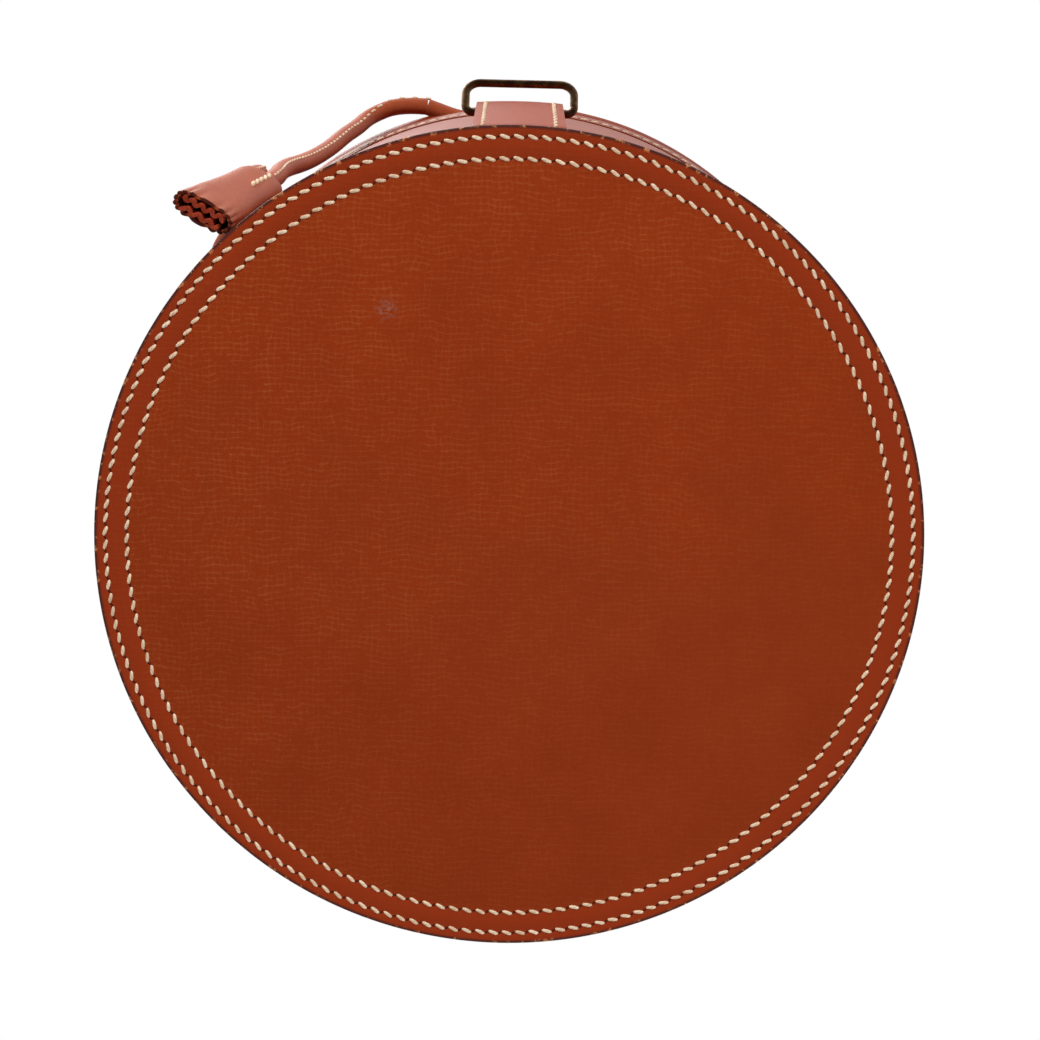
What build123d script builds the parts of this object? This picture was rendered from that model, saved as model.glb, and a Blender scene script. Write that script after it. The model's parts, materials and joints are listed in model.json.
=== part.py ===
from build123d import *
import os
from math import cos, pi, radians, sin, tan

# A drawstring hat box in bridle leather, standing on its base.
# Origin at the centre of the base's underside, +Z up, the front strap ring towards -Y.
# A place round the box is an angle from -Y towards -X, a distance from the axis and a height.

# Driving dimensions, in millimetres
overall_height = 250.0
base_diameter = 240.0
base_thickness = 2.6
base_edge_round = 0.6
base_overhang = 1.5
wall_thickness = 2.2
wall_bend = 3.0
flange_width = 13.0
board_thickness = 2.5
stiffener_thickness = 1.5
lining_thickness = 1.0
glue_gap = 0.05

strip_width = 24.0
strip_thickness = 1.4

cord_diameter = 6.0
cord_clearance = 0.4
casing_thickness = 1.6
casing_drop = 28.0
slot_clearance = 0.5
right_slot_angle = 6.0
left_slot_angle = 74.0
slot_bend = 33.0
slot_turn = 25.0
slot_tail = 8.0

tab_side_gap = 1.5
tab_thickness = 2.4
tab_foot_thickness = 1.4
tab_foot_gap = 0.1

ring_wire = 2.4
ring_inner_width = 30.0
ring_inner_depth = 9.2
ring_corner = 2.6
ring_far_corner = 4.4
ring_height = 46.0
ring_lean = 42.0
ring_bore_clearance = 0.05

tassel_length = 59.0
tassel_flare = 3.0
tassel_leather = 1.4
tassel_grip = 22.0
tassel_recess = 1.5
tassel_gap = 0.1
tassel_angle = 37.9
tassel_stand_off = 9.5
tassel_height = 62.0
tassel_tip_direction = (-11.3, 5.7, -57.5)
tassel_wide_direction = (0.89, 0.45, 0.0)
cord_spacing = 1.2
cord_lead = 12.0
exit_run = 12.0

# Worked out from them
base_radius = base_diameter / 2
wall_radius = base_radius - base_overhang
wall_inner = wall_radius - wall_thickness
stiffener_outer = wall_inner - glue_gap
stiffener_inner = stiffener_outer - stiffener_thickness
lining_outer = stiffener_inner - glue_gap
lining_inner = lining_outer - lining_thickness
board_bottom = base_thickness + wall_thickness
board_top = board_bottom + board_thickness
cord_radius = cord_diameter / 2
roll_hollow = cord_radius + cord_clearance
roll_radius = roll_hollow + casing_thickness
leg_inside = (wall_radius - lining_inner) / 2 + glue_gap
leg_outside = leg_inside + casing_thickness
cord_ring_radius = (wall_radius + lining_inner) / 2
cord_height = overall_height - roll_radius
wall_top = cord_height - cord_radius - cord_clearance
casing_bottom = overall_height - casing_drop
tab_width = ring_inner_width - 2 * tab_side_gap
cord_pitch = cord_diameter + cord_spacing
tassel_top_width = cord_pitch + cord_diameter + 2 * (tassel_leather + tassel_gap)
tassel_depth = cord_diameter + 2 * (tassel_leather + cord_clearance)


def place(angle, distance, height):
    """A point round the box, by its angle from -Y towards -X."""
    return Vector(-distance * sin(radians(angle)), -distance * cos(radians(angle)), height)


def save(piece, name):
    piece.part.label = name
    export_step(piece.part, f"parts/{name}.step")


os.makedirs("parts", exist_ok=True)

# Base: one leather disc that stands proud of the wall all round.
with BuildPart() as base_panel:
    with BuildSketch():
        Circle(base_radius)
    extrude(amount=base_thickness)
    fillet(base_panel.edges().filter_by(GeomType.CIRCLE), base_edge_round)
save(base_panel, "base_panel")

# Wall: leather rolled to a drum, its foot turned in over the base as a sewing flange.
with BuildPart() as wall_panel:
    with BuildSketch(Plane.XZ):
        with BuildLine():
            FilletPolyline(
                (wall_radius - flange_width, base_thickness),
                (wall_radius, base_thickness),
                (wall_radius, wall_top),
                (wall_inner, wall_top),
                (wall_inner, board_bottom),
                (wall_radius - flange_width, board_bottom),
                radius=[0, wall_bend, 0, 0, wall_bend - wall_thickness, 0],
                close=True,
            )
        make_face()
    revolve(axis=Axis.Z)
save(wall_panel, "wall_panel")

# Board disc that keeps the base flat, laid on the flange.
with BuildPart() as base_board:
    with BuildSketch(Plane.XY.offset(board_bottom)):
        Circle(stiffener_inner - glue_gap)
    extrude(amount=board_thickness)
save(base_board, "base_board")

# Lining disc on the board.
with BuildPart() as base_lining:
    with BuildSketch(Plane.XY.offset(board_top)):
        Circle(lining_inner - glue_gap)
    extrude(amount=lining_thickness)
save(base_lining, "base_lining")

# Stiff board cylinder between wall and lining, clear of the bend at the wall's foot.
with BuildPart() as wall_stiffener:
    with BuildSketch(Plane.XY.offset(board_bottom + wall_bend - wall_thickness)):
        Circle(stiffener_outer)
        Circle(stiffener_inner, mode=Mode.SUBTRACT)
    extrude(amount=wall_top - board_bottom - wall_bend + wall_thickness)
save(wall_stiffener, "wall_stiffener")

# Suede lining of the wall, standing on the board.
with BuildPart() as wall_lining:
    with BuildSketch(Plane.XY.offset(board_top)):
        Circle(lining_outer)
        Circle(lining_inner, mode=Mode.SUBTRACT)
    extrude(amount=wall_top - board_top)
save(wall_lining, "wall_lining")

# Leather strip over the upright seam where the wall's two ends meet, on the +X side.
strip_inner = wall_radius + glue_gap
strip_outer = strip_inner + strip_thickness
with BuildPart() as seam_strip:
    with BuildSketch(Plane.XY.offset(base_thickness)):
        Circle(strip_outer)
        Circle(strip_inner, mode=Mode.SUBTRACT)
        with Locations((base_radius, 0)):
            Rectangle(base_radius, strip_width, mode=Mode.INTERSECT)
    extrude(amount=casing_bottom - glue_gap - base_thickness)
save(seam_strip, "seam_strip")


def slot_route(angle, side, run):
    """The drawstring's way out of the casing: a bend off the rim circle and a straight run."""
    start = place(angle, cord_ring_radius, cord_height)
    along = Vector(-cos(radians(angle)), sin(radians(angle)), 0) * side
    bend = JernArc(start, along, slot_bend, slot_turn * side)
    tail = Line(bend @ 1, bend @ 1 + (bend % 1) * run)
    return bend, tail


# Rim casing: a leather channel over the wall's top edge, rolled round the drawstring.
with BuildPart() as rim_casing:
    with BuildSketch(Plane.XZ):
        with Locations((cord_ring_radius, cord_height)):
            Circle(roll_radius)
            Rectangle(2 * leg_outside, cord_height - casing_bottom, align=(Align.CENTER, Align.MAX))
            Circle(roll_hollow, mode=Mode.SUBTRACT)
            Rectangle(
                2 * leg_inside,
                cord_height - casing_bottom,
                align=(Align.CENTER, Align.MAX),
                mode=Mode.SUBTRACT,
            )
    revolve(axis=Axis.Z)
    for slot_angle, slot_side in ((right_slot_angle, 1), (left_slot_angle, -1)):
        with BuildLine() as slot_line:
            slot_route(slot_angle, slot_side, 2 * slot_tail)
        slot_path = slot_line.wires()[0]
        with BuildSketch(Plane(slot_path @ 0, z_dir=slot_path % 0)):
            Circle(cord_radius + slot_clearance)
        sweep(path=slot_path, mode=Mode.SUBTRACT)
save(rim_casing, "rim_casing")

# Drawstring: round leather cord that lies in the casing and leaves it by the two slots.
with BuildPart() as drawstring:
    with BuildLine() as string_line:
        slot_route(right_slot_angle, 1, slot_tail)
        CenterArc(
            (0, 0, cord_height),
            cord_ring_radius,
            270 - right_slot_angle,
            360 - left_slot_angle + right_slot_angle,
        )
        slot_route(left_slot_angle, -1, slot_tail)
    string_path = string_line.wires()[0]
    with BuildSketch(Plane(string_path @ 0, z_dir=string_path % 0)):
        Circle(cord_radius)
    sweep(path=string_path)
save(drawstring, "drawstring")

# Strap tab: a leather strip folded round the ring's bar, its two layers sewn together.
# Its back follows the wall, and its foot is skived thin to meet the base's edge.
ring_radius = wall_radius + glue_gap + tab_thickness + ring_wire / 2 + ring_bore_clearance
bore_radius = ring_wire / 2 + ring_bore_clearance
fold_radius = bore_radius + tab_thickness
tab_foot = base_thickness + tab_foot_gap
tab_foot_front = wall_radius + tab_foot_thickness
with BuildPart() as front_tab:
    with BuildSketch(Plane.YZ.offset(-tab_width / 2)):
        with BuildLine():
            fold = CenterArc((-ring_radius, ring_height), fold_radius, 0, 180)
            Polyline(
                fold @ 1,
                (-tab_foot_front, tab_foot),
                (-wall_radius + wall_bend, tab_foot),
                (-wall_radius + wall_bend, ring_height),
                fold @ 0,
            )
        make_face()
        with Locations((-ring_radius, ring_height)):
            Circle(bore_radius, mode=Mode.SUBTRACT)
    extrude(amount=tab_width)
    with BuildSketch(Plane.XY):
        Circle(wall_radius + glue_gap)
    extrude(amount=overall_height, mode=Mode.SUBTRACT)
save(front_tab, "front_tab")

# Strap ring: round wire bent to a rounded rectangle, its lower bar held in the tab's fold.
lean_plane = Plane(
    origin=(0, -ring_radius, ring_height),
    x_dir=(1, 0, 0),
    z_dir=(0, -sin(radians(ring_lean)), -cos(radians(ring_lean))),
)
bar_half = (ring_inner_width + ring_wire) / 2
bar_spacing = ring_inner_depth + ring_wire
with BuildPart() as front_ring:
    with BuildLine(lean_plane) as wire_line:
        FilletPolyline(
            (-bar_half, 0),
            (bar_half, 0),
            (bar_half, bar_spacing),
            (-bar_half, bar_spacing),
            radius=[ring_corner, ring_corner, ring_far_corner, ring_far_corner],
            close=True,
        )
    wire_path = wire_line.wires()[0]
    with BuildSketch(Plane(wire_path @ 0, z_dir=wire_path % 0)):
        Circle(ring_wire / 2)
    sweep(path=wire_path)
save(front_ring, "front_ring")

# The strap's other end has the same tab and ring, at the back.
with BuildPart() as back_tab:
    mirror(front_tab.part, about=Plane.XZ)
save(back_tab, "back_tab")

with BuildPart() as back_ring:
    mirror(front_ring.part, about=Plane.XZ)
save(back_ring, "back_ring")

# Tassel: its plane lies on the top of the sleeve, with +Z down the tassel.
down = Vector(*tassel_tip_direction).normalized()
wide = Vector(*tassel_wide_direction)
wide = (wide - down * wide.dot(down)).normalized()
tassel_top = place(tassel_angle, wall_radius + tassel_stand_off, tassel_height)
tassel_plane = Plane(origin=tassel_top, x_dir=wide, z_dir=down)


def tassel_section(depth, inset):
    """The tassel's outline at a depth below its top, drawn in from its outer face."""
    width = tassel_top_width + tassel_flare * depth / tassel_length
    RectangleRounded(
        width - 2 * inset,
        tassel_depth - 2 * inset,
        tassel_depth / 2 - inset - tassel_gap,
    )


# Sleeve: a leather wrap sewn round both cord ends, open at the tip.
with BuildPart() as tassel_sleeve:
    for depth in (0, tassel_length):
        with BuildSketch(tassel_plane.offset(depth)):
            tassel_section(depth, 0)
    loft()
    for depth in (tassel_grip, tassel_length):
        with BuildSketch(tassel_plane.offset(depth)):
            tassel_section(depth, tassel_leather)
    loft(mode=Mode.SUBTRACT)
    with BuildSketch(tassel_plane):
        with Locations((cord_pitch / 2, 0), (-cord_pitch / 2, 0)):
            Circle(cord_radius + tassel_gap)
    extrude(amount=tassel_grip, mode=Mode.SUBTRACT)
save(tassel_sleeve, "tassel_sleeve")

# Filling: strips of the same leather, rolled up tight inside the sleeve.
with BuildPart() as tassel_fringe:
    for depth in (tassel_grip, tassel_length - tassel_recess):
        with BuildSketch(tassel_plane.offset(depth)):
            tassel_section(depth, tassel_leather + tassel_gap)
    loft()
save(tassel_fringe, "tassel_fringe")


def drawn_cord(name, slot_angle, side, middle, sleeve_side):
    """One free end of the drawstring, from its slot down into the tassel sleeve.

    A stop of its route is an angle, a distance out from the wall and its share of the fall
    from the casing to the tassel.
    """
    with BuildLine():
        tail = slot_route(slot_angle, side, slot_tail)[1]
    leave = tail @ 1
    points = [leave, leave + (tail % 1) * exit_run]
    for angle, stand_off, fall in middle:
        height = cord_height - fall * (cord_height - tassel_height)
        points.append(place(angle, wall_radius + stand_off, height))
    sleeve_x = sleeve_side * cord_pitch / 2
    points.append(tassel_plane.from_local_coords(Vector(sleeve_x, 0, -cord_lead)))
    points.append(tassel_plane.from_local_coords(Vector(sleeve_x, 0, tassel_grip)))
    radii = []
    for before, corner, after in zip(points, points[1:], points[2:]):
        turn = (corner - before).get_angle(after - corner)
        shorter = min((corner - before).length, (after - corner).length)
        radii.append(0.45 * shorter / tan(radians(turn / 2)))
    with BuildPart() as cord:
        with BuildLine() as route:
            FilletPolyline(*points, radius=radii)
        path = route.wires()[0]
        with BuildSketch(Plane(path @ 0, z_dir=path % 0)):
            Circle(cord_radius)
        sweep(path=path)
    save(cord, name)
    runs = [(after - before).length for before, after in zip(points, points[1:])]
    print(name, "radii", [round(radius, 1) for radius in radii])
    print(name, "runs", [round(run, 1) for run in runs], "length", round(path.length, 1))
    section = pi * cord_radius**2
    print(name, "volume over section times length", round(cord.part.volume / section / path.length, 5))
    print(name, "points", [tuple(round(value, 1) for value in point) for point in points])


drawn_cord(
    "cord_right",
    right_slot_angle,
    1,
    [
        (26.3, 15.8, 0.015),
        (31.0, 13.3, 0.068),
        (34.0, 10.7, 0.153),
        (36.3, 8.5, 0.295),
        (37.2, 7.5, 0.508),
        (37.4, 6.9, 0.732),
    ],
    1,
)
drawn_cord(
    "cord_left",
    left_slot_angle,
    -1,
    [
        (53.4, 16.3, 0.016),
        (48.3, 16.9, 0.068),
        (44.9, 16.1, 0.153),
        (42.0, 14.9, 0.295),
        (40.5, 14.0, 0.508),
        (39.6, 13.5, 0.732),
    ],
    -1,
)
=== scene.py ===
import bmesh
import bpy
import json
from math import asin, atan2, cos, hypot, pi, radians, sin, sqrt
from mathutils import Matrix, Vector, noise


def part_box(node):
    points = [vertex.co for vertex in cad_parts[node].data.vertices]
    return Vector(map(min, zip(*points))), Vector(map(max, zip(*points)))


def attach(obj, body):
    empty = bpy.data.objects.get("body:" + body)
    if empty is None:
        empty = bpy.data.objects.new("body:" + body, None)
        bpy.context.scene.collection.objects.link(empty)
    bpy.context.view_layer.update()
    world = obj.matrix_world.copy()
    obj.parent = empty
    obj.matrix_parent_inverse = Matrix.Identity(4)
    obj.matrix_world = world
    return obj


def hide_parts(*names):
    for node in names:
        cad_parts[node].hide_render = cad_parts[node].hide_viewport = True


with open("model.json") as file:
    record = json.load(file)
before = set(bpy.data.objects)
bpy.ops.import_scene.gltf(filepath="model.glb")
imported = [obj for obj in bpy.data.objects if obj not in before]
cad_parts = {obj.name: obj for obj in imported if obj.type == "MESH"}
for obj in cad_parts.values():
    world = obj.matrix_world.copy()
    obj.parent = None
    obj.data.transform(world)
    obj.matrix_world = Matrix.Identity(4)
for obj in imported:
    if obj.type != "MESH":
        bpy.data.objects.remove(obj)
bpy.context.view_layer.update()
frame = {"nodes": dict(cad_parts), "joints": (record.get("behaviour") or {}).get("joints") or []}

# --- Camera ---------------------------------------------------------------------------------
# It looks up at the underside of the box from just in front of it, so that the base fills
# the view and the front wall shows as a crescent above it.
mm = 0.001
camera_tilt = radians(9.42)
camera_roll = radians(1.4)
sideways = Vector((cos(camera_roll), -sin(camera_roll), 0))
frontward = Vector((-sin(camera_roll), -cos(camera_roll), 0))
ahead = -frontward * sin(camera_tilt) + Vector((0, 0, cos(camera_tilt)))
upright = frontward * cos(camera_tilt) + Vector((0, 0, sin(camera_tilt)))
bpy.ops.object.camera_add()
camera = bpy.context.object
camera.name = "camera"
camera.location = Vector((-0.3, -139.8, -800.0)) * mm
camera.rotation_euler = Matrix((sideways, upright, -ahead)).transposed().to_euler()
camera.data.lens = 97.3
bpy.context.scene.camera = camera

# --- Free cords -----------------------------------------------------------------------------
# Both ends of the drawstring: round cord of folded leather, sewn along its length. They leave
# the rim casing, hang down the wall side by side and end inside the tassel.
cord_diameter = 6.0 * mm
cord_routes = {
    "right": [
        (-33.9, -119.7, 245.0),
        (-44.0, -120.4, 245.0),
        (-54.6, -116.0, 239.8),
        (-59.0, -111.6, 226.0),
        (-61.6, -109.9, 210.0),
        (-65.9, -105.4, 185.0),
        (-71.0, -102.2, 150.0),
        (-76.0, -101.4, 111.0),
        (-75.0, -99.6, 73.3),
        (-81.0, -95.3, 40.1),
    ],
    "left": [
        (-112.0, -54.1, 245.0),
        (-111.2, -63.8, 245.0),
        (-104.8, -73.8, 240.0),
        (-102.1, -80.7, 226.0),
        (-98.6, -85.5, 210.0),
        (-91.6, -90.2, 185.0),
        (-85.6, -95.6, 150.0),
        (-83.6, -98.6, 111.0),
        (-79.8, -101.8, 74.2),
        (-86.4, -98.8, 41.0),
    ],
}


def lay_cord(name, route, diameter):
    """A round cord whose line is one smooth spline along the route."""
    line = bpy.data.curves.new(name, "CURVE")
    line.dimensions = "3D"
    spline = line.splines.new("NURBS")
    spline.points.add(len(route) - 1)
    for point, spot in zip(spline.points, route):
        point.co = (*(Vector(spot) * mm), 1)
        point.radius = diameter / 2
    spline.order_u = 3
    spline.use_endpoint_u = True
    spline.resolution_u = 16
    line.bevel_depth = 1
    line.bevel_resolution = 5
    line.use_fill_caps = True
    cord = bpy.data.objects.new(name, line)
    bpy.context.scene.collection.objects.link(cord)
    return cord


cords = {}
for side, route in cord_routes.items():
    cords[side] = lay_cord(f"cord_{side}_leather", route, cord_diameter)


def cord_centreline(cord):
    """The points that a cord's spline runs through, read from it with its thickness off."""
    cord.data.bevel_depth = 0
    line = bpy.data.meshes.new_from_object(cord)
    cord.data.bevel_depth = 1
    points = [corner.co.copy() for corner in line.vertices]
    bpy.data.meshes.remove(line)
    return points


# --- Base disc ------------------------------------------------------------------------------
# One disc of bridle leather, its grain side down. It is sewn to the wall's flange by two rings
# of saddle stitch that lie in shallow creased channels, and its edge is inked dark.
base_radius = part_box("base_panel")[1][0]
base_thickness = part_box("base_panel")[1][2]
outer_row = base_radius - 3.3 * mm
inner_row = base_radius - 9.5 * mm
channel_half = 0.85 * mm
channel_slope = 0.45 * mm
channel_depth = 0.16 * mm
stitch_pitch = 3.96 * mm
slit_lean = radians(-38)
slit_rise = 0.1
upward = Vector((0, 0, 1))


def srgb(hex_colour):
    """A hex colour as the linear values that a shader takes."""
    shares = [int(hex_colour[at:at + 2], 16) / 255 for at in (0, 2, 4)]
    return [s / 12.92 if s <= 0.04045 else ((s + 0.055) / 1.055) ** 2.4 for s in shares] + [1.0]


def add_node(tree, kind, settings=None, links=None, **choices):
    """Adds a node, sets its choices and inputs, and links the inputs that are fed."""
    node = tree.nodes.new(kind)
    for name, value in choices.items():
        setattr(node, name, value)
    for name, value in (settings or {}).items():
        node.inputs[name].default_value = value
    for name, output in (links or {}).items():
        tree.links.new(output, node.inputs[name])
    return node


def new_finish(name, roughness, metallic=0.0):
    """A material with one shader, and its Object coordinates in millimetres."""
    finish = bpy.data.materials.new(name)
    finish.use_nodes = True
    tree = finish.node_tree
    tree.nodes.clear()
    shader = add_node(tree, "ShaderNodeBsdfPrincipled", {"Roughness": roughness, "Metallic": metallic})
    add_node(tree, "ShaderNodeOutputMaterial", links={"Surface": shader.outputs[0]})
    where = add_node(tree, "ShaderNodeTexCoord")
    spot = add_node(
        tree,
        "ShaderNodeVectorMath",
        {"Scale": 1000.0},
        {0: where.outputs["Object"]},
        operation="SCALE",
    )
    return finish, tree, shader, spot.outputs["Vector"]


def blend_colour(tree, share, low, high):
    """A mix of two colours or sockets by a share."""
    mixer = add_node(tree, "ShaderNodeMix", data_type="RGBA")
    tree.links.new(share, mixer.inputs["Factor"])
    for socket, value in ((mixer.inputs[6], low), (mixer.inputs[7], high)):
        if isinstance(value, bpy.types.NodeSocket):
            tree.links.new(value, socket)
        else:
            socket.default_value = value
    return mixer.outputs[2]


def stretch_range(tree, value, low, high, to_low=0.0, to_high=1.0):
    """A value clamped between two limits and stretched to a new range."""
    node = add_node(
        tree,
        "ShaderNodeMapRange",
        {"From Min": low, "From Max": high, "To Min": to_low, "To Max": to_high},
        {"Value": value},
    )
    return node.outputs["Result"]


def times(tree, first, second):
    """The product of two values."""
    node = add_node(tree, "ShaderNodeMath", operation="MULTIPLY")
    for socket, value in zip(node.inputs, (first, second)):
        if isinstance(value, bpy.types.NodeSocket):
            tree.links.new(value, socket)
        else:
            socket.default_value = value
    return node.outputs[0]


def add_noise(tree, spot, scale, detail, roughness=0.5, distortion=0.0):
    """A noise texture on the piece's coordinates: scale is in turns per millimetre."""
    return add_node(
        tree,
        "ShaderNodeTexNoise",
        {"Scale": scale, "Detail": detail, "Roughness": roughness, "Distortion": distortion},
        {"Vector": spot},
    )


def add_relief(tree, shader, height, strength, depth):
    """Bumps a shader's surface by a height value."""
    bump = add_node(
        tree,
        "ShaderNodeBump",
        {"Strength": strength, "Distance": depth},
        {"Height": height},
    )
    tree.links.new(bump.outputs["Normal"], shader.inputs["Normal"])


def tan_leather(
    name,
    colour,
    pale,
    deep,
    cell,
    lines,
    relief,
    roughness,
    along="Z",
    worn=(0, 0, 0),
    shine=0.4,
):
    """Aniline-dyed cowhide boarded in two directions: small square cells between creases.

    cell is a cell's width in millimetres, lines and relief are strengths, along is the axis
    that the stronger creases are stacked on, and worn leads to where they are palest. The pale
    crease lines are partly the grain's own colour and partly a painted highlight on the ridges.
    """
    finish, tree, shader, spot = new_finish(name, roughness)
    shader.inputs["Specular IOR Level"].default_value = shine
    wander = add_noise(tree, spot, 0.16 / cell, 3.0)
    wandering = add_node(
        tree,
        "ShaderNodeVectorMath",
        {1: (3.2 * cell,) * 3},
        {0: wander.outputs["Color"], 2: spot},
        operation="MULTIPLY_ADD",
    )
    creases = []
    for axis, strength, low in ((along, 1.0, 0.66), ("X", 0.6, 0.75)):
        bands = add_node(
            tree,
            "ShaderNodeTexWave",
            {"Scale": 0.314 / cell, "Distortion": 1.1, "Detail": 2.0, "Detail Scale": 0.5 / cell},
            {"Vector": wandering.outputs[0]},
            wave_type="BANDS",
            bands_direction=axis,
        )
        broken = add_noise(tree, spot, 0.5 / cell, 2.0, 0.6, strength)
        crease = times(
            tree,
            stretch_range(tree, bands.outputs["Fac"], low, 1.0, 0.0, strength),
            stretch_range(tree, broken.outputs["Fac"], 0.36, 0.64),
        )
        creases.append(crease)
    network = add_node(tree, "ShaderNodeMath", operation="ADD", use_clamp=True)
    tree.links.new(creases[0], network.inputs[0])
    tree.links.new(creases[1], network.inputs[1])
    clouds = add_noise(tree, spot, 0.03, 4.0, 0.6)
    pores = add_node(
        tree,
        "ShaderNodeTexVoronoi",
        {"Scale": 1 / cell, "Randomness": 0.8},
        {"Vector": spot},
    )
    specks = add_noise(tree, spot, 2.6, 3.0)
    rubbing = add_node(tree, "ShaderNodeVectorMath", {1: worn}, {0: spot}, operation="DOT_PRODUCT")
    rubbed = add_node(
        tree,
        "ShaderNodeMath",
        {2: 0.1},
        {0: rubbing.outputs["Value"], 1: clouds.outputs["Fac"]},
        operation="MULTIPLY_ADD",
    )
    wear = add_node(
        tree,
        "ShaderNodeMath",
        links={0: rubbed.outputs[0], 1: clouds.outputs["Fac"]},
        operation="ADD",
    )
    worn_share = stretch_range(tree, wear.outputs[0], 0.35, 0.95, 0.25, 1.0)
    dye_share = stretch_range(tree, clouds.outputs["Fac"], 0.3, 0.7, 0.25, 1.0)
    dyed = blend_colour(tree, dye_share, srgb(deep), srgb(colour))
    pore_share = stretch_range(tree, pores.outputs["Distance"], 0.0, 0.8, 0.45, 0.0)
    pored = blend_colour(tree, pore_share, dyed, srgb(deep))
    speck_share = stretch_range(tree, specks.outputs["Fac"], 0.52, 0.85, 0.0, 0.3)
    speckled = blend_colour(tree, speck_share, pored, srgb(pale))
    # The creases are blended towards the pale colour: partly the grain's own lighter lines, partly a
    # painted highlight on their ridges.
    painted_highlight_crease_share = times(tree, times(tree, network.outputs[0], worn_share), lines)
    creased = blend_colour(tree, painted_highlight_crease_share, speckled, srgb(pale))
    tree.links.new(creased, shader.inputs["Base Color"])
    height = add_node(
        tree,
        "ShaderNodeMath",
        {1: 0.8},
        {0: network.outputs[0], 2: specks.outputs["Fac"]},
        operation="MULTIPLY_ADD",
    )
    add_relief(tree, shader, height.outputs[0], relief, 0.1 * mm)
    tree.links.new(
        stretch_range(tree, specks.outputs["Fac"], 0.3, 0.7, roughness - 0.05, roughness + 0.08),
        shader.inputs["Roughness"],
    )
    return finish, tree, shader, spot, creased


# Bridle leather, tallow-dressed: a low even shine, russet with a redder burnished rim.
base_finish, tree, shader, spot, hide_colour = tan_leather(
    "bridle_leather_base",
    "8c310b",
    "a3552f",
    "802b0a",
    1.7,
    0.4,
    0.3,
    0.5,
    along="Y",
    worn=(-0.0045, -0.0035, 0),
    shine=0.3,
)
flat_spot = add_node(
    tree,
    "ShaderNodeVectorMath",
    {1: (1, 1, 0)},
    {0: spot},
    operation="MULTIPLY",
)
from_axis = add_node(
    tree,
    "ShaderNodeVectorMath",
    links={0: flat_spot.outputs[0]},
    operation="LENGTH",
)
reach = from_axis.outputs["Value"]
radius_mm = base_radius / mm
burnish = stretch_range(tree, reach, radius_mm - 10.5, radius_mm - 8.5, 0.0, 0.75)
rim_colour = blend_colour(tree, burnish, hide_colour, srgb("8a2e10"))
handling = add_noise(tree, spot, 0.35, 5.0, 0.7)
scuffed = stretch_range(tree, handling.outputs["Fac"], 0.56, 0.62)
edge_ink = blend_colour(tree, scuffed, srgb("43211c"), srgb("b9794e"))
inked = stretch_range(tree, reach, radius_mm - 1.25, radius_mm - 0.45)
edged = blend_colour(tree, inked, rim_colour, edge_ink)
stain_place = (-36.5, -67.0, 0.0)
from_stain = add_node(
    tree,
    "ShaderNodeVectorMath",
    {1: stain_place},
    {0: flat_spot.outputs[0]},
    operation="DISTANCE",
)
blots = add_noise(tree, spot, 0.9, 4.0)
stain = times(
    tree,
    stretch_range(tree, from_stain.outputs["Value"], 1.0, 4.0, 1.0, 0.0),
    stretch_range(tree, blots.outputs["Fac"], 0.45, 0.6, 0.0, 0.45),
)
stained = blend_colour(tree, stain, edged, srgb("7d6a60"))
tree.links.new(stained, shader.inputs["Base Color"])

bpy.ops.object.select_all(action="DESELECT")
bpy.ops.mesh.primitive_cylinder_add(
    vertices=256,
    radius=base_radius,
    depth=base_thickness,
    location=(0, 0, base_thickness / 2),
)
base_disc = bpy.context.object
base_disc.name = "base_disc"
bpy.ops.object.transform_apply(location=True, rotation=True, scale=True)
bpy.ops.object.mode_set(mode="EDIT")


def pick_corners(piece, wanted):
    """Selects the corners of the open piece that pass a test, with their edges and faces."""
    shape = bmesh.from_edit_mesh(piece.data)
    for corner in shape.verts:
        corner.select = wanted(corner.co)
    shape.select_mode = {"VERT"}
    shape.select_flush_mode()
    bmesh.update_edit_mesh(piece.data)


pick_corners(base_disc, lambda co: co.z < base_thickness / 2)
reached = base_radius
for row in (outer_row, inner_row):
    for ring in (
        row + channel_half,
        row + channel_half - channel_slope,
        row - channel_half + channel_slope,
        row - channel_half,
    ):
        bpy.ops.mesh.inset(thickness=reached - ring)
        reached = ring
for row in (outer_row, inner_row):
    floor_half = channel_half - channel_slope / 2
    pick_corners(
        base_disc,
        lambda co: co.z < base_thickness / 2 and abs(hypot(co.x, co.y) - row) < floor_half,
    )
    bpy.ops.transform.translate(value=(0, 0, channel_depth))
bpy.ops.object.mode_set(mode="OBJECT")


def apply_modifier(piece, kind, **choices):
    """Adds one modifier with its choices and applies it at once."""
    bpy.ops.object.select_all(action="DESELECT")
    piece.select_set(True)
    bpy.context.view_layer.objects.active = piece
    modifier = piece.modifiers.new(kind.lower(), kind)
    for name, value in choices.items():
        setattr(modifier, name, value)
    bpy.ops.object.modifier_apply(modifier=modifier.name)


def round_edges(piece, width, segments, least_turn=60):
    """Rounds the edges that turn by more than least_turn degrees."""
    apply_modifier(
        piece,
        "BEVEL",
        width=width,
        segments=segments,
        limit_method="ANGLE",
        angle_limit=radians(least_turn),
    )


def finish_piece(piece, finish, body="box", smooth=35):
    """Gives a piece its finish, its shading and the body that it rides on."""
    piece.data.materials.clear()
    piece.data.materials.append(finish)
    if piece.type == "MESH":
        bpy.ops.object.select_all(action="DESELECT")
        piece.select_set(True)
        bpy.context.view_layer.objects.active = piece
        bpy.ops.object.shade_smooth_by_angle(angle=radians(smooth))
    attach(piece, body)


round_edges(base_disc, 0.6 * mm, 4)
finish_piece(base_disc, base_finish)
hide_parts("base_panel")
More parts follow.
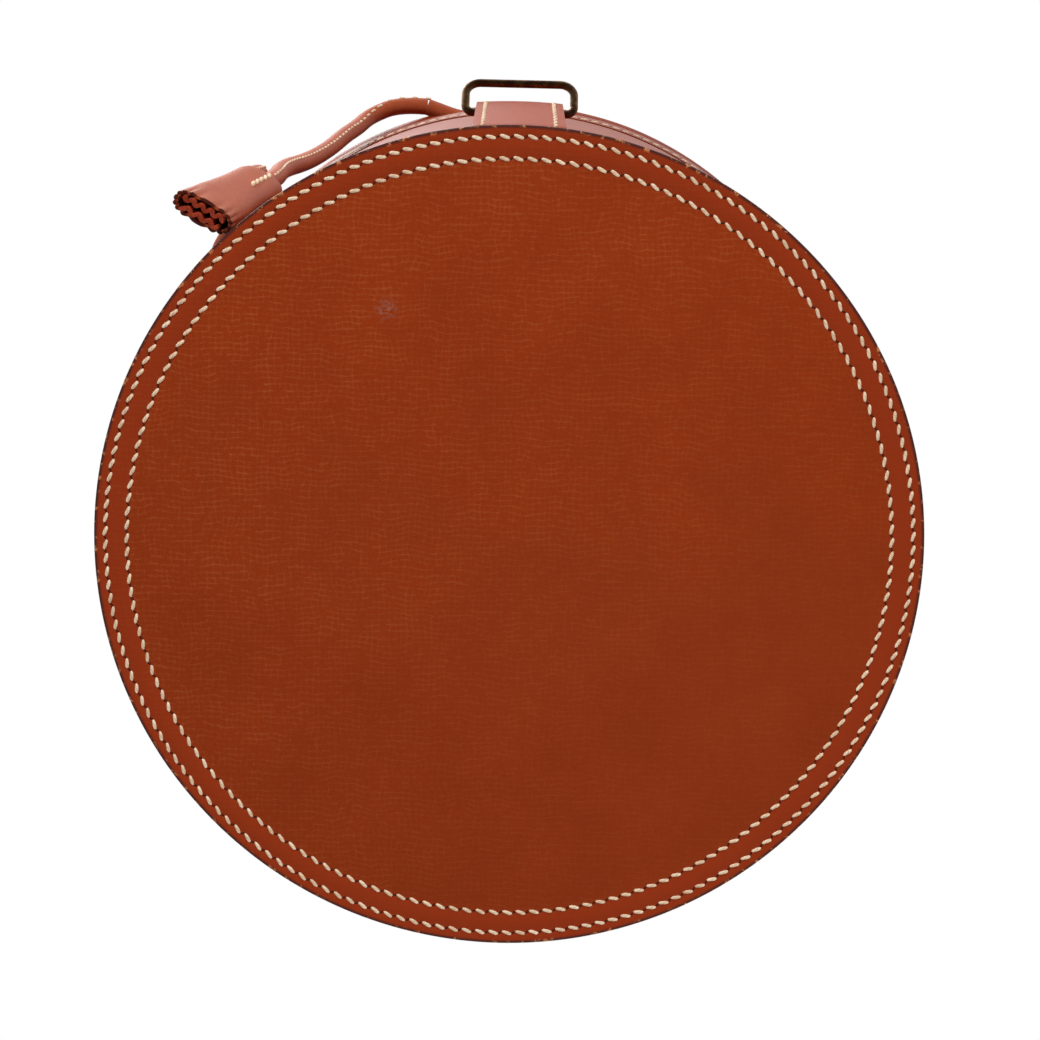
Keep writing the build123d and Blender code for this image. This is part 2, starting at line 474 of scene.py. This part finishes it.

# Waxed linen thread, two plies: matt, cream, a little grey where it has been handled, with painted
# shade in the grooves between the plies.
thread_finish, tree, shader, spot = new_finish("waxed_linen_thread", 0.75)
soil = add_noise(tree, spot, 0.12, 5.0, 0.7)
wrap = add_node(tree, "ShaderNodeTexCoord")
ply = add_node(
    tree,
    "ShaderNodeTexWave",
    {"Scale": 1.3, "Distortion": 0.4},
    {"Vector": wrap.outputs["UV"]},
    wave_type="BANDS",
    bands_direction="DIAGONAL",
)
soiled = stretch_range(tree, soil.outputs["Fac"], 0.35, 0.7)
handled = blend_colour(tree, soiled, srgb("ecd6b8"), srgb("c9a98a"))
# Painted shade: the grooves between the plies are darkened.
ply_groove_painted_shade = stretch_range(tree, ply.outputs["Fac"], 0.0, 0.45, 0.35, 0.0)
plied_with_painted_shade = blend_colour(tree, ply_groove_painted_shade, handled, srgb("a37f5f"))
tree.links.new(plied_with_painted_shade, shader.inputs["Base Color"])
add_relief(tree, shader, ply.outputs["Fac"], 0.5, 0.15 * mm)

# The awl's slit at each end of a stitch: raw dark leather in shadow.
slit_finish, tree, shader, spot = new_finish("awl_slit", 0.9)
raw = add_noise(tree, spot, 3.0, 2.0)
raw_colour = blend_colour(tree, raw.outputs["Fac"], srgb("3d160c"), srgb("5a2210"))
tree.links.new(raw_colour, shader.inputs["Base Color"])


def sew(name, places, length, width, finish, rise):
    """Copies of one plump stitch: each place is a centre, a direction and the way out.

    rise is the stitch's height as a share of its width. Its ends dive into the leather.
    """
    bpy.ops.object.select_all(action="DESELECT")
    bpy.ops.mesh.primitive_uv_sphere_add(segments=8, ring_count=7, radius=1)
    row = bpy.context.object
    row.name = name
    one = row.data
    one.transform(Matrix.Rotation(pi / 2, 4, "Y"))
    for corner in one.vertices:
        blunt = max(0.0, 1 - corner.co.x ** 4) ** 0.25
        ball = sqrt(max(1e-12, 1 - corner.co.x ** 2))
        plump = min(1.6, blunt / ball)
        corner.co.y *= plump * width / 2
        corner.co.z = (corner.co.z * plump - 0.55 * corner.co.x ** 2) * width * rise
        corner.co.x *= length / 2
    whole = bmesh.new()
    for centre, along, out in places:
        across = out.cross(along)
        turn = Matrix((along, across, out)).transposed().to_4x4()
        copy = one.copy()
        copy.transform(Matrix.Translation(centre) @ turn)
        whole.from_mesh(copy)
        bpy.data.meshes.remove(copy)
    whole.to_mesh(one)
    whole.free()
    one.update()
    finish_piece(row, finish, smooth=180)


def round_axis(turn):
    """The ways outward and round the box at a turn from its front."""
    return Vector((sin(turn), -cos(turn), 0)), Vector((cos(turn), sin(turn), 0))


def ring_places(radius, height, out, lean, wobble):
    """Stitch and slit places round the base's underside, clockwise as seen from below."""
    count = round(2 * pi * radius / stitch_pitch)
    stitches, slits = [], []
    for at in range(count):
        turn = 2 * pi * at / count
        jitter = wobble * noise.noise(Vector((at * 0.73, radius * 900, 0)))
        outward, clockwise = round_axis(turn)
        slant = lean + jitter
        along = clockwise * cos(slant) - outward * sin(slant)
        centre = outward * (radius + 0.25 * jitter * mm) + height * upward
        stitches.append((centre, along, out))
        gap_outward, gap_clockwise = round_axis(turn + pi / count)
        slit = gap_clockwise * cos(slit_lean) - gap_outward * sin(slit_lean)
        slits.append((gap_outward * radius + height * upward, slit, out))
    return stitches, slits


for row_name, row_radius in (("outer", outer_row), ("inner", inner_row)):
    stitches, slits = ring_places(row_radius, channel_depth, -upward, radians(21), 0.14)
    sew(
        f"base_{row_name}_stitches",
        stitches,
        3.25 * mm,
        1.1 * mm,
        thread_finish,
        0.42,
    )
    sew(
        f"base_{row_name}_slits",
        slits,
        1.35 * mm,
        0.7 * mm,
        slit_finish,
        slit_rise,
    )

# --- Wall -----------------------------------------------------------------------------------
# The same leather rolled to a drum. Its foot bends in over the base, and it has the slight
# waves of a hide that has stood on a board core.
wall_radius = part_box("wall_panel")[1][0]
wall_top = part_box("wall_panel")[1][2]
foot_bend = 3.0 * mm
foot_flange = 8.0 * mm
foot_share = 0.06
wall_wave = 0.35 * mm

# Bridle leather again, a little browner and smoother than the base, with wider cells.
wall_finish = tan_leather(
    "bridle_leather_wall", "8b340f", "a2532d", "7d2d0c", 2.0, 0.5, 0.3, 0.46
)[0]


def lay_leather(name, across, along, place):
    """A grid laid as place(u, v) says, where u and v run from 0 to 1 across and along it."""
    bpy.ops.object.select_all(action="DESELECT")
    bpy.ops.mesh.primitive_grid_add(x_subdivisions=across, y_subdivisions=along, size=1)
    piece = bpy.context.object
    piece.name = name
    for corner in piece.data.vertices:
        corner.co = place(corner.co.x + 0.5, corner.co.y + 0.5)
    bpy.ops.object.mode_set(mode="EDIT")
    bpy.ops.mesh.select_all(action="SELECT")
    bpy.ops.mesh.remove_doubles(threshold=1e-6)
    bpy.ops.mesh.normals_make_consistent(inside=False)
    bpy.ops.object.mode_set(mode="OBJECT")
    return piece


def wall_place(u, v):
    """The drum from the inner edge of its foot, v = 0, over the bend and up to its top."""
    turn = 2 * pi * u
    if v < foot_share / 2:
        radius = wall_radius - foot_bend - foot_flange * (1 - 2 * v / foot_share)
        height = base_thickness
    elif v < foot_share:
        swing = (2 * v / foot_share - 1) * pi / 2
        radius = wall_radius - foot_bend + foot_bend * sin(swing)
        height = base_thickness + foot_bend * (1 - cos(swing))
    else:
        share = (v - foot_share) / (1 - foot_share)
        foot = base_thickness + foot_bend
        height = foot + (wall_top - foot) * share
        wave = noise.noise(Vector((3 * cos(turn), 3 * sin(turn), 4 * share)))
        radius = wall_radius + wall_wave * wave * sin(pi * min(1, 1.15 * share))
    return Vector((radius * sin(turn), -radius * cos(turn), height))


wall = lay_leather("wall_leather", 192, 34, wall_place)
finish_piece(wall, wall_finish)
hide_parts("wall_panel")

# --- Seam strip -----------------------------------------------------------------------------
# The wall's two ends meet on the +X side under a strip of thinner leather, sewn down both
# edges.
strip_low, strip_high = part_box("seam_strip")
strip_half = strip_high[1]
strip_radius = strip_high[0]
strip_leather = 1.4 * mm
strip_inset = 2.8 * mm
strip_clear = 6.0 * mm
strip_start = 4.0 * mm
wall_lean = radians(14)

# The same leather, split thinner: cells as on the wall, a shade deeper.
strip_finish = tan_leather(
    "bridle_leather_strip", "8a330f", "a0502b", "7a2b0c", 1.9, 0.5, 0.3, 0.46
)[0]


def sew_wall(row_name, stitches, slits):
    """A row on the wall or the casing: stitches with a slit between each two."""
    sew(f"{row_name}_stitches", stitches, 3.3 * mm, 1.0 * mm, thread_finish, 0.4)
    sew(f"{row_name}_slits", slits, 1.2 * mm, 0.6 * mm, slit_finish, slit_rise)


def strip_place(u, v):
    """The strip's inner face, across and up the wall on its +X side."""
    turn = pi / 2 + (2 * u - 1) * asin(strip_half / strip_radius)
    radius = strip_radius - strip_leather
    height = strip_low[2] + (strip_high[2] - strip_low[2]) * v
    return Vector((radius * sin(turn), -radius * cos(turn), height))


strip = lay_leather("seam_cover", 16, 60, strip_place)
apply_modifier(strip, "SOLIDIFY", thickness=strip_leather, offset=1)
round_edges(strip, 0.35 * mm, 2)
finish_piece(strip, strip_finish)
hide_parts("seam_strip")
stitches, slits = [], []
stitch_count = int((strip_high[2] - strip_low[2] - strip_clear) / stitch_pitch)
for side in (-1, 1):
    outward, onward = round_axis(pi / 2 + side * asin((strip_half - strip_inset) / strip_radius))
    along = upward * cos(wall_lean) + onward * sin(wall_lean)
    for at in range(stitch_count):
        height = strip_low[2] + strip_start + at * stitch_pitch
        stitches.append((outward * strip_radius + height * upward, along, outward))
        gap_height = height + stitch_pitch / 2
        slits.append((outward * strip_radius + gap_height * upward, along, outward))
sew_wall("seam", stitches, slits)

# --- Rim casing -----------------------------------------------------------------------------
# A leather channel over the wall's top edge, rolled round the drawstring and sewn through the
# wall. Two slots let the drawstring out at the front left.
rim_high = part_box("rim_casing")[1]
roll_radius = 5.0 * mm
roll_middle = rim_high[0] - roll_radius
roll_height = rim_high[2] - roll_radius
leg_out = 4.05 * mm
leg_in = 2.45 * mm
leg_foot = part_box("rim_casing")[0][2]
leg_edge = 0.4 * mm
skive = 11.0 * mm
roll_start = -radians(50)
roll_steps = 14
roof = roll_height - roll_radius + 0.8 * mm
row_rise = 3.0 * mm
slot_clearance = 0.5 * mm
slot_length = 22.0 * mm
slot_inset = 4.0 * mm

# Handled more than the wall, so a shade darker and shinier.
casing_finish = tan_leather(
    "bridle_leather_casing", "88310f", "9d4c28", "782a0c", 1.7, 0.45, 0.3, 0.45
)[0]

# Its section as distances from the roll's middle and heights, foot to foot and back inside.
casing_outline = [
    (leg_in, leg_foot),
    (leg_in + leg_edge, leg_foot),
    (leg_out, leg_foot + skive),
]
for step in range(roll_steps + 1):
    swing = roll_start + (pi - 2 * roll_start) * step / roll_steps
    casing_outline.append((roll_radius * cos(swing), roll_height + roll_radius * sin(swing)))
casing_outline += [
    (-leg_out, leg_foot + skive),
    (-leg_in - leg_edge, leg_foot),
    (-leg_in, leg_foot),
    (-leg_in, roof),
    (leg_in, roof),
]


def casing_place(u, v):
    """A point of the section, turned round the box and puckered a little."""
    turn = 2 * pi * u
    out, height = casing_outline[round(v * len(casing_outline)) % len(casing_outline)]
    pucker = noise.noise(Vector((9 * cos(turn), 9 * sin(turn), height * 60)))
    radius = roll_middle + out * (1 + 0.03 * pucker)
    return Vector((radius * sin(turn), -radius * cos(turn), height))


casing = lay_leather("rim_casing_leather", 192, len(casing_outline), casing_place)
for leave, onward in (route[:2] for route in cord_routes.values()):
    heading = (Vector(onward) - Vector(leave)).normalized()
    bpy.ops.object.select_all(action="DESELECT")
    bpy.ops.mesh.primitive_cylinder_add(
        vertices=32,
        radius=cord_diameter / 2 + slot_clearance,
        depth=slot_length,
        location=Vector(leave) * mm - heading * slot_inset,
        rotation=heading.to_track_quat("Z", "Y").to_euler(),
    )
    punch = bpy.context.object
    apply_modifier(casing, "BOOLEAN", object=punch, operation="DIFFERENCE", solver="EXACT")
    bpy.data.objects.remove(punch)
finish_piece(casing, casing_finish)
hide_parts("rim_casing")


def level_places(side):
    """Stitch and slit places round the casing near its foot: side 1 is outside, -1 inside."""
    height = leg_foot + row_rise
    leg = leg_in + leg_edge + (leg_out - leg_in - leg_edge) * row_rise / skive
    radius = roll_middle + side * leg
    count = round(2 * pi * radius / stitch_pitch)
    stitches, slits = [], []
    for at in range(count):
        turn = 2 * pi * at / count
        outward, clockwise = round_axis(turn)
        along = clockwise * cos(wall_lean) + upward * sin(wall_lean)
        stitches.append((outward * radius + height * upward, along, outward * side))
        gap_outward = round_axis(turn + pi / count)[0]
        slits.append((gap_outward * radius + height * upward, along, gap_outward * side))
    return stitches, slits


for row_name, side in (("lower", 1), ("inner", -1)):
    stitches, slits = level_places(side)
    sew_wall(f"casing_{row_name}", stitches, slits)

# --- Strap tabs -----------------------------------------------------------------------------
# A strip of leather folded round each ring's bar, sewn down both sides through both layers.
# Its foot is skived thin and caught between the base and the wall.
ring_height = frame["joints"][0]["pos_m"][2]
bar_radius = abs(frame["joints"][0]["pos_m"][1])
tab_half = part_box("front_tab")[1][0]
tab_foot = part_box("front_tab")[0][2]
tab_rise = ring_height - tab_foot
fold_radius = 3.65 * mm
fold_reach = bar_radius + fold_radius
foot_reach = wall_radius + 1.4 * mm
tab_belly = 0.35 * mm
tab_taper = 0.035
tab_sag = 0.75
tab_steps = 14
fold_steps = 12

# Finer grained and lighter than the wall, with both cut edges inked dark.
tab_finish, tree, shader, spot, tab_colour = tan_leather(
    "bridle_leather_tab", "913710", "a8582f", "842f0e", 1.1, 0.3, 0.2, 0.45
)
aside = add_node(tree, "ShaderNodeSeparateXYZ", links={0: spot})
off_centre = add_node(tree, "ShaderNodeMath", links={0: aside.outputs["X"]}, operation="ABSOLUTE")
cut_edge = stretch_range(tree, off_centre.outputs[0], tab_half / mm - 0.35, tab_half / mm - 0.1)
inked_tab = blend_colour(tree, cut_edge, tab_colour, srgb("3a1812"))
tree.links.new(inked_tab, shader.inputs["Base Color"])


def tab_face(share):
    """How far out the tab's outer face is, at a share of its height."""
    return foot_reach + (fold_reach - foot_reach) * share + tab_belly * sin(pi * share)


def tab_outline():
    """The folded strip from the side: distance from the axis and height, foot to foot."""
    outline = []
    for step in range(tab_steps):
        share = step / tab_steps
        outline.append((tab_face(share), tab_foot + tab_rise * share))
    for step in range(fold_steps + 1):
        swing = pi * step / fold_steps
        out = bar_radius + fold_radius * cos(swing)
        outline.append((out, ring_height + fold_radius * sin(swing)))
    for step in range(1, tab_steps + 1):
        outline.append((bar_radius - fold_radius, ring_height - tab_rise * step / tab_steps))
    return outline


tab_line = tab_outline()


def curve_in(out, across):
    """How far out a point is once the tab bends round the wall with it."""
    return out - (out - sqrt(out * out - across * across)) * tab_sag


def make_tab(name, facing):
    """One tab, where facing is -1 for the front and 1 for the back."""

    def tab_place(u, v):
        out, height = tab_line[round(v * len(tab_line)) % len(tab_line)]
        across = (2 * u - 1) * tab_half
        narrowing = 1 - tab_taper * max(0.0, (height - tab_foot) / tab_rise)
        return Vector((across * narrowing, facing * curve_in(out, across), height))

    tab = lay_leather(name, 14, len(tab_line), tab_place)
    bpy.ops.object.mode_set(mode="EDIT")
    bpy.ops.mesh.select_all(action="DESELECT")
    bpy.ops.mesh.select_non_manifold(extend=False)
    bpy.ops.mesh.fill()
    bpy.ops.mesh.select_all(action="SELECT")
    bpy.ops.mesh.normals_make_consistent(inside=False)
    bpy.ops.object.mode_set(mode="OBJECT")
    round_edges(tab, 0.4 * mm, 3)
    finish_piece(tab, tab_finish)
    return tab


row_aside = tab_half - 3.1 * mm
row_count = 10
row_lean = radians(12)
tab_slope = atan2(fold_reach - foot_reach, tab_rise)
for end, facing in (("front", -1), ("back", 1)):
    tab = make_tab(f"{end}_tab_leather", facing)
    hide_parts(f"{end}_tab")
    stitches, slits = [], []
    outward = Vector((0, facing * cos(tab_slope), -sin(tab_slope)))
    uphill = Vector((0, facing * sin(tab_slope), cos(tab_slope)))
    along = uphill * cos(row_lean) + Vector((sin(row_lean), 0, 0))
    for side in (-1, 1):
        for at in range(row_count):
            share = (at + 0.5) / row_count
            across = side * row_aside * (1 - tab_taper * share)
            out = curve_in(tab_face(share), across)
            centre = Vector((across, facing * out, tab_foot + tab_rise * share))
            stitches.append((centre, along, outward))
            slits.append((centre + uphill * tab_rise / row_count / 2, along, outward))
    sew(
        f"{end}_tab_stitches",
        stitches,
        3.7 * mm,
        1.05 * mm,
        thread_finish,
        0.45,
    )
    sew(
        f"{end}_tab_slits",
        slits,
        1.0 * mm,
        0.7 * mm,
        slit_finish,
        slit_rise,
    )

# --- Strap rings ----------------------------------------------------------------------------
# Cast brass wire rings gone dark brown in use, with bare brass where the strap has rubbed.

# Brown patina over metal, duller where it is thick.
ring_finish, tree, shader, spot = new_finish("patinated_brass", 0.38, 1.0)
patches = add_noise(tree, spot, 0.35, 6.0, 0.65)
bare = stretch_range(tree, patches.outputs["Fac"], 0.42, 0.66)
patina = blend_colour(tree, bare, srgb("5a3a2c"), srgb("8a6c42"))
tree.links.new(patina, shader.inputs["Base Color"])
dullness = stretch_range(tree, patches.outputs["Fac"], 0.35, 0.7, 0.5, 0.28)
tree.links.new(dullness, shader.inputs["Roughness"])
pits = add_noise(tree, spot, 4.0, 3.0)
add_relief(tree, shader, pits.outputs["Fac"], 0.25, 0.08 * mm)


def dress(node_name, finish):
    """Gives a CAD node that stays as it is its finish."""
    node = frame["nodes"][node_name]
    node.data.materials.clear()
    node.data.materials.append(finish)


for ring_name in ("front_ring", "back_ring"):
    dress(ring_name, ring_finish)

# --- Cord leather and its sewing ------------------------------------------------------------
# The cord is a strip of leather folded round a core: smooth, with small stitches along it.
cord_seam_side = Vector((0.62, -0.78, 0))
cord_stitch_pitch = 4.6 * mm
sleeve_hidden = 6

# A paler, softer and drier leather than the box's, finely grained.
cord_finish = tan_leather(
    "folded_cord_leather", "a84f2b", "bd7656", "923f22", 0.9, 0.3, 0.2, 0.55
)[0]
dress("drawstring", cord_finish)
for side, cord in cords.items():
    finish_piece(cord, cord_finish)
    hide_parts(f"cord_{side}")
    line = cord_centreline(cord)
    places = []
    walked = 0.0
    for before, after in zip(line, line[1:]):
        run = after - before
        heading = run.normalized()
        out = (cord_seam_side - heading * cord_seam_side.dot(heading)).normalized()
        while walked < run.length:
            places.append((before + heading * walked + out * cord_diameter / 2, heading, out))
            walked += cord_stitch_pitch
        walked -= run.length
    sew(
        f"cord_{side}_stitches",
        places[:-sleeve_hidden],
        2.5 * mm,
        0.95 * mm,
        thread_finish,
        0.5,
    )

# --- Tassel ---------------------------------------------------------------------------------
# A wrap of leather closed by five long stitches over both cord ends. It flares to a scalloped
# edge, and inside it a second strip is rolled up tight.
tassel_top = Vector((-78.4, -98.7, 61.6)) * mm
tassel_down = Vector((-11.3, 5.7, -57.5)).normalized()
tassel_wide = Vector((0.89, 0.45, 0.0))
tassel_wide = (tassel_wide - tassel_down * tassel_wide.dot(tassel_down)).normalized()
tassel_thick = tassel_down.cross(tassel_wide)
if tassel_thick.y > 0:
    tassel_thick = -tassel_thick
tassel_length = 59.0 * mm
rim_depth = (tassel_top.dot(tassel_down) + tassel_length) / mm
sleeve_leather = 0.95 * mm
collar_share = 0.05
scallops = 16
crimp_start = 0.72
frill_start = 24.0 * mm
frill_leather = 1.15 * mm
frill_wave = 0.55 * mm


def depth_along(tree, spot):
    """How far along the tassel's axis a point is, in millimetres."""
    depth = add_node(
        tree,
        "ShaderNodeVectorMath",
        {1: tassel_down},
        {0: spot},
        operation="DOT_PRODUCT",
    )
    return depth.outputs["Value"]


# The cord's leather, with the scalloped edge inked dark.
tassel_finish, tree, shader, spot, sleeve_colour = tan_leather(
    "bridle_leather_tassel", "a34c28", "bb7452", "8d3b1e", 0.9, 0.3, 0.3, 0.52
)
rim_ink = stretch_range(tree, depth_along(tree, spot), rim_depth - 0.75, rim_depth - 0.4)
inked_rim = blend_colour(tree, rim_ink, sleeve_colour, srgb("4a1c12"))
tree.links.new(inked_rim, shader.inputs["Base Color"])

# The rolled strip's raw side: redder and matt, with painted shade darkening it further up inside the
# sleeve.
core_finish, tree, shader, spot, core_colour = tan_leather(
    "flesh_side_leather", "983721", "b8634a", "6a1e10", 0.9, 0.5, 0.5, 0.7, shine=0.25
)
# Painted shade: the core goes nearly black towards the top of the sleeve.
sleeve_painted_shade_share = stretch_range(tree, depth_along(tree, spot), rim_depth - 6.0, rim_depth + 0.5)
core_with_painted_shade = blend_colour(tree, sleeve_painted_shade_share, srgb("3a0f07"), core_colour)
tree.links.new(core_with_painted_shade, shader.inputs["Base Color"])


def oval(turn, half_wide, half_thick):
    """A point on a rounded oblong, as shares of the tassel's two directions."""
    wide_share = abs(cos(turn)) ** 0.62 * (1 if cos(turn) >= 0 else -1)
    thick_share = abs(sin(turn)) ** 0.8 * (1 if sin(turn) >= 0 else -1)
    return tassel_wide * wide_share * half_wide + tassel_thick * thick_share * half_thick


def sleeve_place(u, v):
    """The sleeve round and down: a turned-in collar, a slight waist, then a crimped flare."""
    turn = 2 * pi * u
    if v < collar_share:
        fold = v / collar_share
        size = 0.45 + 0.47 * fold ** 0.6
        depth = 1.0 * mm * (1 - fold)
    else:
        share = (v - collar_share) / (1 - collar_share)
        size = min(1.0, 0.92 + 0.9 * share)
        depth = tassel_length * share
    flare = depth / tassel_length
    crimp = max(0.0, (flare - crimp_start) / (1 - crimp_start)) ** 2
    pleat = cos(scallops * turn) * 0.24 * mm * crimp
    waist = 1 - 0.06 * sin(pi * min(1.0, flare / 0.7))
    half_wide = (7.9 * mm + 1.3 * mm * flare - sleeve_leather / 2) * size * waist + pleat
    half_thick = (4.6 * mm - 0.9 * mm * flare - sleeve_leather / 2) * size * waist + pleat
    scallop_edge = 0.7 * mm * abs(cos(scallops / 2 * turn)) * crimp - 0.9 * mm * crimp
    return tassel_top + tassel_down * (depth + scallop_edge) + oval(turn, half_wide, half_thick)


sleeve = lay_leather("tassel_sleeve_leather", 128, 44, sleeve_place)
apply_modifier(sleeve, "SOLIDIFY", thickness=sleeve_leather, offset=0)
round_edges(sleeve, 0.25 * mm, 2, 50)
finish_piece(sleeve, tassel_finish, smooth=50)
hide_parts("tassel_sleeve")


def make_frill(name, offset, folds, phase, half, proud):
    """One ruffled layer of the filling: where it lies, its folds and how far it stands out."""

    def frill_place(u, v):
        ruffle = cos(2 * pi * folds * u + phase)
        depth = frill_start + (tassel_length + proud - frill_start) * v
        uneven = 0.6 * mm * (noise.noise(Vector((7 * u, phase, 3.0))) + 0.5 * ruffle) * v
        wide = (2 * u - 1) * half * (0.75 + 0.25 * v)
        thick = offset + frill_wave * ruffle * (0.4 + 0.6 * v)
        middle = tassel_top + tassel_down * (depth + uneven)
        return middle + tassel_wide * wide + tassel_thick * thick

    frill = lay_leather(name, 96, 12, frill_place)
    apply_modifier(frill, "SOLIDIFY", thickness=frill_leather, offset=0)
    round_edges(frill, 0.3 * mm, 2, 50)
    finish_piece(frill, core_finish, smooth=50)
    return frill


tassel_core = [
    make_frill("tassel_frill_outer", 1.35 * mm, 4.5, 0.4, 6.7 * mm, 0.6 * mm),
    make_frill("tassel_frill_inner", -1.25 * mm, 3.5, 2.1, 6.2 * mm, 1.8 * mm),
]
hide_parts("tassel_fringe")

tassel_row = tassel_top + tassel_wide * 1.8 * mm + tassel_thick * 4.25 * mm
tassel_stitch_pitch = 4.2 * mm
tassel_lean = radians(16)
along = tassel_down * cos(tassel_lean) + tassel_wide * sin(tassel_lean)
stitches = []
for at in range(5):
    depth = 2.6 * mm + at * tassel_stitch_pitch
    stitches.append((tassel_row + tassel_down * depth, along, tassel_thick))
sew(
    "tassel_stitches",
    stitches,
    3.9 * mm,
    1.4 * mm,
    thread_finish,
    0.6,
)

# --- Lining and boards ----------------------------------------------------------------------
# Tan goatskin suede inside, and grey millboard in the base and the wall, which only shows at
# cut edges.

# Brushed nap: matt, with broad lighter strokes and fine dark fibres.
suede_finish, tree, shader, spot = new_finish("goatskin_suede", 0.95)
nap = add_noise(tree, spot, 0.06, 6.0, 0.6)
stroked = stretch_range(tree, nap.outputs["Fac"], 0.35, 0.65)
brushed = blend_colour(tree, stroked, srgb("a9754a"), srgb("bd8a5c"))
fibres = add_noise(tree, spot, 5.0, 4.0, 0.8)
fibre_shade = stretch_range(tree, fibres.outputs["Fac"], 0.4, 0.7, 0.0, 0.4)
napped = blend_colour(tree, fibre_shade, brushed, srgb("8d5c37"))
tree.links.new(napped, shader.inputs["Base Color"])
add_relief(tree, shader, fibres.outputs["Fac"], 0.5, 0.1 * mm)

# Pressed grey pulp with fine flecks.
board_finish, tree, shader, spot = new_finish("millboard", 0.9)
pulp = add_noise(tree, spot, 1.2, 5.0)
board_colour = blend_colour(tree, pulp.outputs["Fac"], srgb("8f887d"), srgb("aaa497"))
tree.links.new(board_colour, shader.inputs["Base Color"])
for node_name, finish in (
    ("wall_lining", suede_finish),
    ("base_lining", suede_finish),
    ("base_board", board_finish),
    ("wall_stiffener", board_finish),
):
    dress(node_name, finish)

# --- Studio ---------------------------------------------------------------------------------
# A pale floor that shows from above only and white surroundings. Three lamps light the base and
# the front from below, and two softer ones light the box from above.

# Paper from above, nothing from below, where the camera looks through it.
bpy.ops.object.select_all(action="DESELECT")
bpy.ops.mesh.primitive_plane_add(size=40, location=(0, 0, -0.6 * mm))
floor = bpy.context.object
floor.name = "studio_floor"
floor_finish, tree, shader = new_finish("studio_paper", 0.9)[:3]
shader.inputs["Base Color"].default_value = srgb("e4e2df")
clear = add_node(tree, "ShaderNodeBsdfTransparent")
behind = add_node(tree, "ShaderNodeNewGeometry")
one_way = add_node(
    tree,
    "ShaderNodeMixShader",
    links={0: behind.outputs["Backfacing"], 1: shader.outputs[0], 2: clear.outputs[0]},
)
tree.links.new(one_way.outputs[0], tree.nodes["Material Output"].inputs["Surface"])
floor.data.materials.append(floor_finish)
floor.visible_diffuse = False
floor.visible_glossy = False
floor.visible_transmission = False
floor.visible_shadow = False


def hang_lamp(name, spot, aim, size, power, glossy):
    """A square lamp that lights the box softly and isn't seen itself."""
    bpy.ops.object.light_add(type="AREA", location=spot)
    lamp = bpy.context.object
    lamp.name = name
    lamp.data.size = size
    lamp.data.energy = power
    lamp.rotation_euler = (Vector(aim) - Vector(spot)).to_track_quat("-Z", "Y").to_euler()
    lamp.visible_camera = False
    lamp.visible_glossy = glossy


hang_lamp("lamp_below", (0.35, 0.55, -1.1), (0, 0, 0), 0.5, 11.0, False)
hang_lamp("lamp_low_left", (-0.75, -0.95, -0.45), (0, 0, 0), 0.4, 9.5, False)
hang_lamp("lamp_low_front", (0.35, -1.15, -0.3), (0, 0, 0.03), 0.5, 8.5, False)
hang_lamp("lamp_above", (-0.7, -0.9, 1.3), (0, 0, 0.12), 0.9, 14.0, True)
hang_lamp("lamp_behind", (0.9, 1.1, 0.9), (0, 0, 0.1), 0.8, 9.0, True)

# White where the camera sees it. As light it is strong from above and weak from below.
world = bpy.data.worlds.new("studio")
bpy.context.scene.world = world
world.use_nodes = True
sky = world.node_tree
sky.nodes.clear()
direction = add_node(sky, "ShaderNodeTexCoord")
height = add_node(sky, "ShaderNodeSeparateXYZ", links={0: direction.outputs["Generated"]})
glow = stretch_range(sky, height.outputs["Z"], -0.1, 0.25, 0.12, 0.85)
seen = add_node(sky, "ShaderNodeLightPath")
strength = add_node(
    sky,
    "ShaderNodeMix",
    {"B": 1.0},
    {"Factor": seen.outputs["Is Camera Ray"], "A": glow},
)
backdrop = add_node(
    sky,
    "ShaderNodeBackground",
    {"Color": (1, 1, 1, 1)},
    {"Strength": strength.outputs["Result"]},
)
add_node(sky, "ShaderNodeOutputWorld", links={"Surface": backdrop.outputs[0]})
bpy.context.scene.view_settings.view_transform = "Standard"
